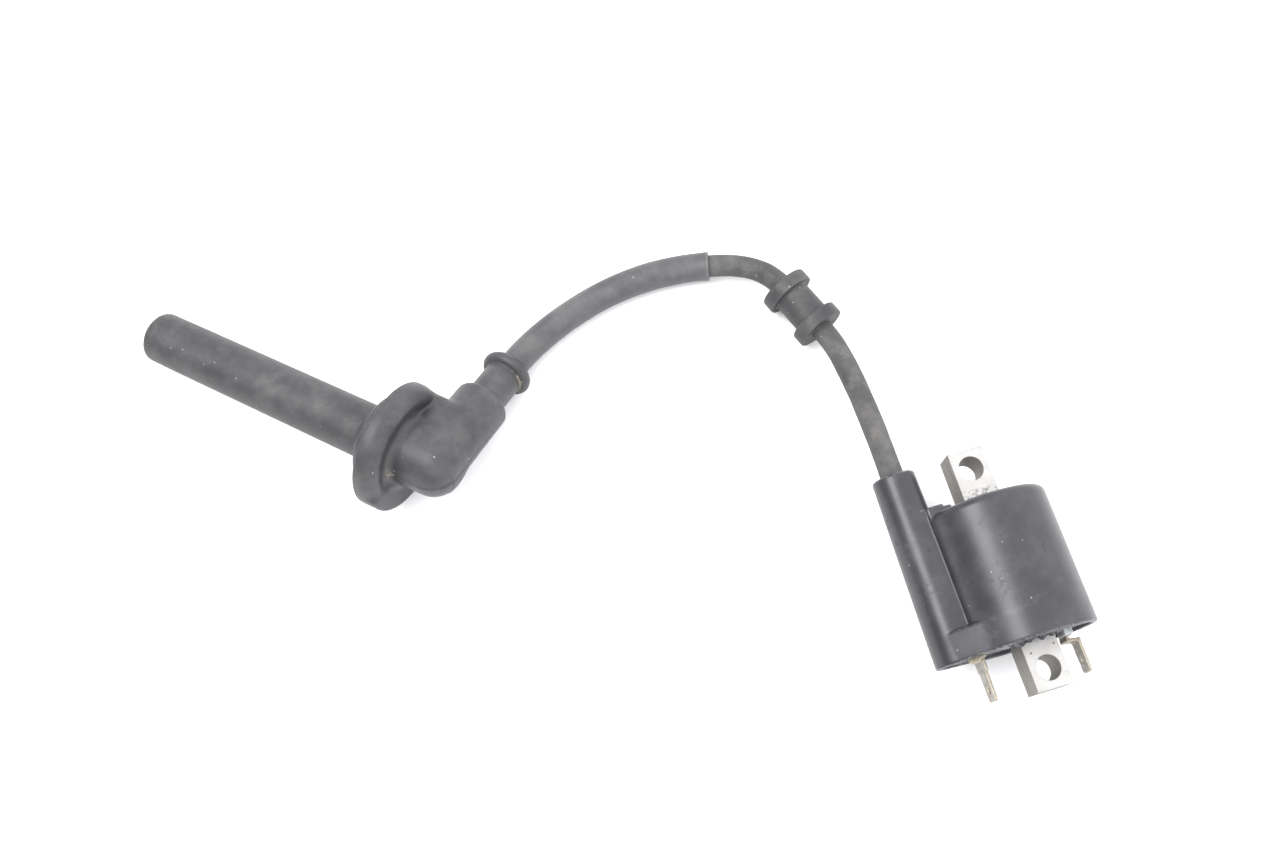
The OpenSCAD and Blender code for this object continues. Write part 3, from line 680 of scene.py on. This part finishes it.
def case_field(x, y, z):
    """Can, skirt, tower, web, gusset and rib joined with small fillets, less the cavity, the
    hole for the core and the bores of the tower."""
    from_axis, from_tower = np.hypot(x, z), np.hypot(x - TOWER_X, z)
    can = both(both(from_axis - CAN_R + 0.005 * (y - OPEN_Y), y - CLOSED_Y, 2.4), OPEN_Y - y, 0.5)
    skirt = both(both(twin_outline(x, z, CAN_R - 0.5, TOWER_R - 0.12), y - SKIRT_Y, 1.0),
                 OPEN_Y - y, 0.5)
    tower = both(from_tower - TOWER_R + TOWER_TAPER * (y - OPEN_Y), y - TOWER_TOP, 0.7)
    tower = both(tower, OPEN_Y - y, 0.5)
    narrowed = z * TOWER_R / (TOWER_R - TOWER_TAPER * (y - OPEN_Y))
    web = block(x, y, narrowed, TOWER_X, -17.0, -14.0, 22.2, TOWER_R, 0.3)
    gusset = block(x, y, z, -17.4, -12.3, 14.0, 22.2, 7.6, 0.5)
    rib = block(x, y, z, -12.6, -10.1, 14.0, 21.4, 7.6, 0.4)
    body = either(either(can, skirt, 0.8), either(tower, web, 0.1), 0.15)
    body = either(body, either(gusset, rib, 0.2), 0.25)
    inside = both(from_axis - CAVITY_R, y - 17.6, 0.6)
    inside = either(inside, both(twin_outline(x, z, CAVITY_R, CHAMBER_R), y + 14.8, 0.6))
    inside = either(inside, both(both(abs(x), abs(z)) - 5.35, -y))
    inside = either(inside, both(from_tower - LEAD_R - 0.1, 9.8 - y))
    inside = either(inside, both(from_tower - 1.25, abs(y + 3) - 15))
    mouth = from_tower - LEAD_R - 0.1 + (TOWER_TOP - y) - 0.5
    inside = either(inside, both(mouth, TOWER_TOP - 2 - y))
    return both(body, -inside, 0.3)


points, faces = sift(case_field, (-29.6, -22.6, -19.9), (19.9, 35.9, 19.9), 0.45)
bend = bend_of(case_field, points, 0.6)
mouth_dirt = 0.75 * hump(points[:, 1], TOWER_TOP, 0.8) * hump(
    np.hypot(points[:, 0] - TOWER_X, points[:, 2]), LEAD_R + 0.3, 0.7)
case_plastic = moulding("case_plastic", (0.018, 0.0175, 0.021), (0.028, 0.027, 0.032), 0.36,
                        film=0.1, scuff=0.3, bump=0.035)
add_piece("case_shell", (points, faces), case_plastic, "coil", "case", ("case",),
          crease=np.clip(-bend / 4 - 0.2, 0, 0.15) + mouth_dirt, worn=np.clip(bend / 2.2, 0, 1))


# ---- Laminated core -------------------------------------------------------------------------
# Twenty-one stampings of silicon steel, half a millimetre each, riveted into a square bar that
# runs through the case. The outer faces are ground bright; the cut edges have gone brown.
CORE_HALF, CORE_END = 5.25, 35.9
HOLE_Y, HOLE_R = 30.0, 3.6
SHEETS, SHEET = 21, 0.5
GROOVE, FACE_INSET = 0.07, 0.1


def core_skin():
    """Skin of the bar. Its wall is the bar's outline carried through the sheets, drawn in at each
    joint; its two flat faces run from each hole out to the ear's outline on spokes, and straight
    from ear to ear between. It isn't quite closed where the faces meet the wall: the lower face
    is drawn in 0.03 mm further than the wall, and the faces' long edges have points of their own."""
    top = CORE_END - HOLE_Y
    corner = math.atan2(top, CORE_HALF)
    turns = [-math.pi / 4, corner, math.pi - corner, 1.25 * math.pi, 1.75 * math.pi]
    turn = np.concatenate([np.linspace(a, b, 18, endpoint=False)
                           for a, b in zip(turns[:-1], turns[1:])])
    spoke = np.stack([np.cos(turn), np.sin(turn)], 1)
    reach = np.minimum(CORE_HALF / np.maximum(abs(spoke[:, 0]), 1e-9),
                       np.where(spoke[:, 1] > 0, top, CORE_HALF) / np.maximum(abs(spoke[:, 1]), 1e-9))
    ear = spoke * reach[:, None] + (0, HOLE_Y)
    ring = spoke * HOLE_R + (0, HOLE_Y)
    random = np.random.default_rng(7)
    slip = random.uniform(0.0, 0.03, SHEETS)
    base = -CORE_HALF + SHEET * np.arange(SHEETS)
    level = np.concatenate([np.stack([base, base + 0.06, base + SHEET - 0.06], 1).ravel(),
                            [CORE_HALF]])
    inset = np.concatenate([np.stack([np.full(SHEETS, GROOVE), slip, slip], 1).ravel(),
                            [FACE_INSET]])
    outline = np.vstack([ear[:55], -ear[:55]])
    limit = np.array([CORE_HALF, CORE_END])

    points, faces = [], []

    def add_grid(grid, heights, joined, upside=True):
        """Adds a grid of flat places at their heights, its rows joined end to start or not."""
        m, n = grid.shape[:2]
        index = sum(map(len, points)) + np.arange(m * n).reshape(m, n)
        turned_on = np.roll(index, -1, 1)
        a, b, c, d = index[:-1], index[1:], turned_on[1:], turned_on[:-1]
        quads = np.stack([a, b, c, d], -1)[:, :None if joined else -1].reshape(-1, 4)
        faces.append(quads if upside else quads[:, [0, 3, 2, 1]])
        tall = np.broadcast_to(np.reshape(heights, (-1, 1)), (m, n))
        points.append(np.concatenate([grid.reshape(-1, 2), tall.reshape(-1, 1)], 1))

    room = (limit - inset[:, None])[:, None]
    add_grid(np.clip(outline[None], -room, room), level, True, False)
    for sign in (1, -1):
        centre = np.array((0, sign * HOLE_Y))
        wide = centre + (sign * ring - centre) * (1 + inset[:, None, None] / HOLE_R)
        add_grid(wide[:, ::-1], level, True, False)
    room = limit - FACE_INSET
    for height, upside in ((CORE_HALF, True), (-CORE_HALF, False)):
        for sign in (1, -1):
            inner = sign * (ring - (0, HOLE_Y)) * (1 + FACE_INSET / HOLE_R) + (0, sign * HOLE_Y)
            outer = np.clip(sign * ear, -room, room)
            share = np.linspace(0, 1, 4)[:, None, None]
            add_grid(inner + (outer - inner) * share, height, True, upside)
        chord = np.vstack([ear[54:], ear[:1]])
        near, far = np.clip(chord, -room, room), np.clip(-chord[::-1], -room, room)
        share = np.linspace(0, 1, 13)[:, None, None]
        add_grid(near + (far - near) * share, height, False, upside)
    points = np.vstack(points)
    _, first, same = np.unique(np.round(points, 4), axis=0, return_index=True, return_inverse=True)
    return points[first], [same.reshape(-1)[np.vstack(faces)]]


def ground_steel(name):
    """Ground silicon steel: bright faces with crossing grind marks and grey stains, and brown
    cut edges with the run of the sheets, told apart by which way each face looks."""
    finish, tree, shader, where = new_finish(name)
    facing = put(tree, "SeparateXYZ", {0: put(tree, "NewGeometry").outputs["True Normal"]})
    face = step_up(tree, sums(tree, "ABSOLUTE", facing.outputs[2]), 0.75, 0.95)
    ground = noise(tree, where, 900, 3, 0.6, stretch=(0.12, 3.0, 1.0))
    stain = noise(tree, where, 240, 5, 0.65)
    bright = mixed(tree, step_up(tree, stain, 0.4, 0.8), (0.43, 0.425, 0.415), (0.36, 0.35, 0.335))
    bright = mixed(tree, step_up(tree, ground, 0.45, 0.75, 0, 0.35), bright, (0.52, 0.52, 0.515))
    streak = noise(tree, where, 500, 4, 0.6, stretch=(1.0, 0.25, 5.0))
    cut = mixed(tree, step_up(tree, streak, 0.35, 0.7), (0.15, 0.14, 0.125), (0.23, 0.22, 0.20))
    cut = mixed(tree, step_up(tree, noise(tree, where, 180, 5, 0.7), 0.55, 0.75, 0, 0.5), cut,
                (0.12, 0.10, 0.08))
    place = put(tree, "SeparateXYZ", {0: where})
    band = sums(tree, "MULTIPLY", step_up(tree, sums(tree, "ABSOLUTE", sums(
        tree, "SUBTRACT", place.outputs[1], 0.0221)), 0.0008, 0.0024, 1, 0),
        step_up(tree, noise(tree, where, 900, 4, 0.7), 0.48, 0.58))
    bright = mixed(tree, sums(tree, "MULTIPLY", band, 0.7), bright, (0.11, 0.10, 0.10))
    for x, y in ((-0.0032, -0.0250), (0.0039, -0.0241)):
        off = put(tree, "VectorMath", {0: where, 1: (x, y, 0.00525)}, operation="DISTANCE")
        dot = step_up(tree, off.outputs["Value"], 0.00022, 0.00042, 0.8, 0)
        bright = mixed(tree, dot, bright, (0.05, 0.045, 0.04))
    tree.links.new(mixed(tree, face, cut, bright), shader.inputs["Base Color"])
    metal = step_up(tree, face, 0, 1, 0.55, 0.72)
    tree.links.new(metal, shader.inputs["Metallic"])
    dull = sums(tree, "MULTIPLY_ADD", stain, 0.25, 0.32)
    tree.links.new(dull, shader.inputs["Roughness"])
    raise_by(tree, shader, ground, 0.25)
    return finish


core = add_piece("core_stack", core_skin(), ground_steel("core_steel"), "coil", "core_steel",
                 ("core",))
core.data.set_sharp_from_angle(angle=math.radians(32))


# ---- Potting --------------------------------------------------------------------------------
# Black epoxy poured in at the open end: it wets up the walls and the core, and set in lumps
# along the core's upper side.
POTTING_Y, BOBBIN_Y = -21.0, -15.9
LUMPS = ((-5.6, 7.5, 1.8, 1.5), (-2.9, 7.9, 1.3, 1.2), (0.5, 8.2, 1.7, 1.4), (3.6, 7.9, 1.4, 1.3),
         (6.2, 8.2, 1.0, 1.1), (-8.4, 6.6, 0.9, 1.3))


def potting_field(x, y, z):
    """The pocket between the walls and the core, up to a free surface that rises towards both
    and over each lump."""
    to_wall = twin_outline(x, z, CAVITY_R - 0.02, CHAMBER_R - 0.02)
    to_core = np.maximum(abs(x), abs(z)) - 5.3
    surface = POTTING_Y - 0.4 * np.exp(to_wall / 0.8) - 0.45 * np.exp(-np.maximum(to_core, 0) / 0.7)
    for lump_x, lump_z, height, width in LUMPS:
        surface = surface - height * np.exp(-((x - lump_x) ** 2 + (z - lump_z) ** 2) / width ** 2)
    return both(both(to_wall, -to_core), both((surface - y) * 0.8, y - BOBBIN_Y), 0.1)


def resin(name, dark, pale, rough):
    """Set resin or cement: mottled colour and faint ripples."""
    finish, tree, shader, where = new_finish(name)
    mottle = noise(tree, where, 600, 5, 0.6)
    tree.links.new(mixed(tree, step_up(tree, mottle, 0.35, 0.7), dark, pale),
                   shader.inputs["Base Color"])
    tree.links.new(sums(tree, "MULTIPLY_ADD", mottle, 0.2, rough - 0.1), shader.inputs["Roughness"])
    raise_by(tree, shader, noise(tree, where, 350, 2), 0.2, 0.0002)
    return finish


points, faces = sift(potting_field, (-28, -23.2, -18), (18, -15.3, 18), 0.4)
add_piece("potting_fill", (points, faces), resin("epoxy", (0.012, 0.013, 0.017),
                                                 (0.022, 0.024, 0.032), 0.16),
          "coil", "epoxy", ("potting",))


# ---- Terminals ------------------------------------------------------------------------------
# Two tabs of tinned brass strip, 0.8 mm thick, set in the potting. The earth tab is narrowed
# below its shoulder; the feed tab steps outwards. The punched edges show the brass.
BLADE_HALF = 0.4
BLADE_END = -34.4
EARTH_X, EARTH_LEAN = -16.3, math.radians(8)


def earth_field(x, y, z):
    """Upright strip, wide down to its shoulder and narrow below, with a worn tip, less its hole;
    the whole leans about the axis of the case."""
    c, s = math.cos(EARTH_LEAN), math.sin(EARTH_LEAN)
    across, up = (x - EARTH_X) * c - z * s, (x - EARTH_X) * s + z * c
    wide = both(abs(up) - 3.15, abs(y + 22.2) - 3.8, 0.4)
    narrow = both(abs(up + 0.15) - 2.4, abs(y + 29.1) - 5.3, 0.7)
    notch = np.hypot(up - 2.2, y - BLADE_END) - 0.55
    outline = both(either(wide, narrow, 0.3), -notch, 0.2)
    outline = both(outline, -(np.hypot(up, np.maximum(abs(y + 31) - 0.35, 0)) - 0.7), 0.08)
    return both(abs(across) - BLADE_HALF, outline, 0.12)


def strip(x, y, x0, y0, x1, y1):
    """Distance from the straight run between two points, less half the strip's thickness."""
    run_x, run_y = x1 - x0, y1 - y0
    share = np.clip(((x - x0) * run_x + (y - y0) * run_y) / (run_x ** 2 + run_y ** 2), 0, 1)
    return np.hypot(x - x0 - share * run_x, y - y0 - share * run_y) - BLADE_HALF


def feed_field(x, y, z):
    """Strip bent outwards and down again, narrowed at its tip, less its hole."""
    bent = either(strip(x, y, 8.9, -18.5, 8.9, -24.4), strip(x, y, 8.9, -24.4, 11.9, -24.9), 0.4)
    bent = either(bent, strip(x, y, 11.9, -24.9, 12.0, -34.0), 0.5)
    tip = np.clip((-33.2 - y) / 1.2, 0, 1)
    outline = abs(z) - 3.15 + 0.9 * tip ** 2
    hole = both(np.hypot(z - 0.2, np.maximum(abs(y + 30.6) - 0.3, 0)) - 0.75, 10.5 - x)
    return both(both(bent, outline, 0.15), -hole, 0.1)


def tinned_brass(name):
    """Tinned brass: grey faces with scratches and tarnish, and golden edges where the tin is cut
    or worn through, by the worn mark."""
    finish, tree, shader, where = new_finish(name)
    tarnish = noise(tree, where, 700, 5, 0.65)
    drawn = noise(tree, where, 800, 3, 0.6, stretch=(3.0, 0.2, 3.0))
    tin = mixed(tree, step_up(tree, tarnish, 0.35, 0.7), (0.27, 0.26, 0.235), (0.17, 0.155, 0.13))
    tin = mixed(tree, step_up(tree, drawn, 0.5, 0.7, 0, 0.4), tin, (0.36, 0.35, 0.32))
    tin = mixed(tree, sums(tree, "MULTIPLY", mark(tree, "crease"), 0.45), tin, (0.25, 0.17, 0.13))
    bare = sums(tree, "MULTIPLY", mark(tree, "worn"), step_up(tree, tarnish, 0.3, 0.55, 0.5, 1))
    brass = mixed(tree, step_up(tree, noise(tree, where, 1200, 3), 0.4, 0.65), (0.42, 0.35, 0.24),
                  (0.52, 0.47, 0.37))
    tree.links.new(mixed(tree, bare, tin, brass), shader.inputs["Base Color"])
    tree.links.new(step_up(tree, tarnish, 0.2, 0.8, 0.85, 0.55), shader.inputs["Metallic"])
    tree.links.new(sums(tree, "MULTIPLY_ADD", tarnish, 0.35, 0.22), shader.inputs["Roughness"])
    raise_by(tree, shader, drawn, 0.3)
    return finish


tab_metal = tinned_brass("tinned_tab")
for name, field, low, high, node in (
        ("earth_tab", earth_field, (-18.2, -35, -3.9), (-14.4, -17.9, 3.9), "earth_terminal"),
        ("feed_tab", feed_field, (8, -35, -3.7), (13, -17.6, 3.7), "feed_terminal")):
    points, faces = sift(field, low, high, 0.17)
    bend = bend_of(field, points, 0.25)
    coppery = np.clip((points[:, 1] + 26.5) / 2, 0, 1) * (node == "feed_terminal")
    add_piece(name, (points, faces), tab_metal, "coil", "tinned_tab", (node,),
              worn=np.clip((bend - 1) / 3, 0, 1), crease=coppery)


# ---- Sealing compound and solder ------------------------------------------------------------
# A dab of cream epoxy holds the earth tab's root; a block of solder wets the feed tab's.
def dabs_field(x, y, z):
    """Three overlapping dabs run together."""
    first = np.hypot(np.hypot((x + 18.2) / 1.35, (y + 21.8) / 1.2), (z - 1.6) / 1.9) * 1.2 - 1.3
    second = np.hypot(np.hypot(x + 17.4, (y + 22.0) / 0.95), (z - 3.2) / 0.9) - 1.25
    third = np.hypot(np.hypot(x + 15.6, (y + 21.6) / 0.8), z - 3.4) - 0.75
    return either(either(first, second, 0.7), third, 0.4)


def solder_field(x, y, z):
    """Block with soft corners, swelling a little in the middle."""
    swell = 0.15 * np.cos(np.clip(z / 3.2, -1, 1) * 1.5)
    flat = both(abs(x - 9.5) - 1.35 - swell, abs(y + 21.9) - 1.1 - swell, 0.45)
    return both(flat, abs(z - 0.9) - 3.3, 0.5)


for name, field, low, high, slot, node, finish in (
        ("seal_dab", dabs_field, (-20.6, -24.0, -2.4), (-14.2, -19.8, 5.2), "sealing_compound",
         "terminal_seal", resin("sealing_compound", (0.36, 0.34, 0.26), (0.24, 0.21, 0.14), 0.5)),
        ("solder_pad", solder_field, (7.5, -23.8, -3.2), (11.8, -20.0, 4.9), "solder",
         "terminal_pad", resin("solder", (0.50, 0.53, 0.54), (0.33, 0.35, 0.37), 0.35))):
    add_piece(name, sift(field, low, high, 0.2), finish, "coil", slot, (node,))


# ---- Inner parts ----------------------------------------------------------------------------
# Bobbins, windings, pins, springs and contacts, closed in by the case and the cap. They keep
# their own shapes and get the finish of what they are made of.
def inner_metal(name, dark, pale, rough, stretch):
    """Drawn or turned metal with marks drawn out along its length."""
    finish = resin(name, dark, pale, rough)
    tree = finish.node_tree
    shader = tree.nodes["Principled BSDF"]
    shader.inputs["Metallic"].default_value = 1.0
    where = put(tree, "TexCoord").outputs["Object"]
    marks = noise(tree, where, 900, 3, 0.6, stretch=stretch)
    raise_by(tree, shader, marks, 0.3)
    return finish


brass = inner_metal("brass_contact", (0.62, 0.40, 0.14), (0.78, 0.56, 0.25), 0.35, (1, 0.3, 2))
spring_steel = inner_metal("spring_wire", (0.42, 0.42, 0.42), (0.6, 0.6, 0.6), 0.35, (1, 1, 4))
enamel = inner_metal("enamel_wire", (0.42, 0.13, 0.05), (0.60, 0.24, 0.09), 0.3, (0.2, 6, 0.2))
bobbin = resin("bobbin_plastic", (0.55, 0.50, 0.38), (0.66, 0.61, 0.48), 0.5)
ceramic = resin("resistor_ceramic", (0.66, 0.63, 0.55), (0.78, 0.75, 0.68), 0.6)
INNER = {"primary_bobbin": bobbin, "secondary_bobbin": bobbin, "primary_winding": enamel,
         "secondary_winding": enamel, "primary_wires": enamel, "ht_strap": brass,
         "ht_pin": brass, "lead_ferrule": brass, "contact_block": brass, "plug_terminal": brass,
         "contact_spring": spring_steel, "terminal_clip": spring_steel, "resistor": ceramic}
for node, finish in INNER.items():
    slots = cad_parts[node].data.materials
    slots.clear()
    slots.append(finish)


# ---- Table and light ------------------------------------------------------------------------
# A plain white table, a surround that brightens upwards and towards the coil's side, and one
# large soft lamp on the cap's side.
TABLE_Z = -19.07
table = bpy.data.objects.new("table", bpy.data.meshes.new("table"))
table.data.from_pydata([(-3, -3, TABLE_Z * MM), (3, -3, TABLE_Z * MM), (3, 3, TABLE_Z * MM),
                        (-3, 3, TABLE_Z * MM)], [], [(0, 1, 2, 3)])
scene.collection.objects.link(table)
paper = bpy.data.materials.new("table_white")
paper.use_nodes = True
tree = paper.node_tree
where = put(tree, "TexCoord").outputs["Object"]
tree.links.new(mixed(tree, noise(tree, where, 4, 3), (0.93, 0.93, 0.935), (0.95, 0.95, 0.955)),
               tree.nodes["Principled BSDF"].inputs["Base Color"])
tree.nodes["Principled BSDF"].inputs["Roughness"].default_value = 0.9
tree.nodes["Principled BSDF"].inputs["Specular IOR Level"].default_value = 0.1
table.data.materials.append(paper)
table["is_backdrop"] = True

world = bpy.data.worlds.new("surround")
world.use_nodes = True
sky = world.node_tree
way = put(sky, "SeparateXYZ", {0: put(sky, "TexCoord").outputs["Generated"]})
lifted = sums(sky, "MULTIPLY_ADD", way.outputs[0], 0.5, sums(sky, "MULTIPLY", way.outputs[2], 0.85))
sky.links.new(step_up(sky, lifted, -0.35, 0.85, 0.55, 2.3), sky.nodes["Background"].inputs[1])
sky.nodes["Background"].inputs[0].default_value = (0.985, 0.985, 1, 1)
scene.world = world


def soft_lamp(name, place, target, size, watts):
    """Square lamp at a place, turned to face a target."""
    lamp = bpy.data.objects.new(name, bpy.data.lights.new(name, "AREA"))
    lamp.data.size = size
    lamp.data.energy = watts
    lamp.location = place
    aim = np.subtract(target, place)
    lamp.rotation_euler = (math.acos(-aim[2] / np.linalg.norm(aim)), 0,
                           math.atan2(aim[1], aim[0]) - math.pi / 2)
    scene.collection.objects.link(lamp)


soft_lamp("key_lamp", (-0.52, 0.2, 0.85), (-0.07, 0.05, 0), 0.45, 7.5)

low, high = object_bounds()
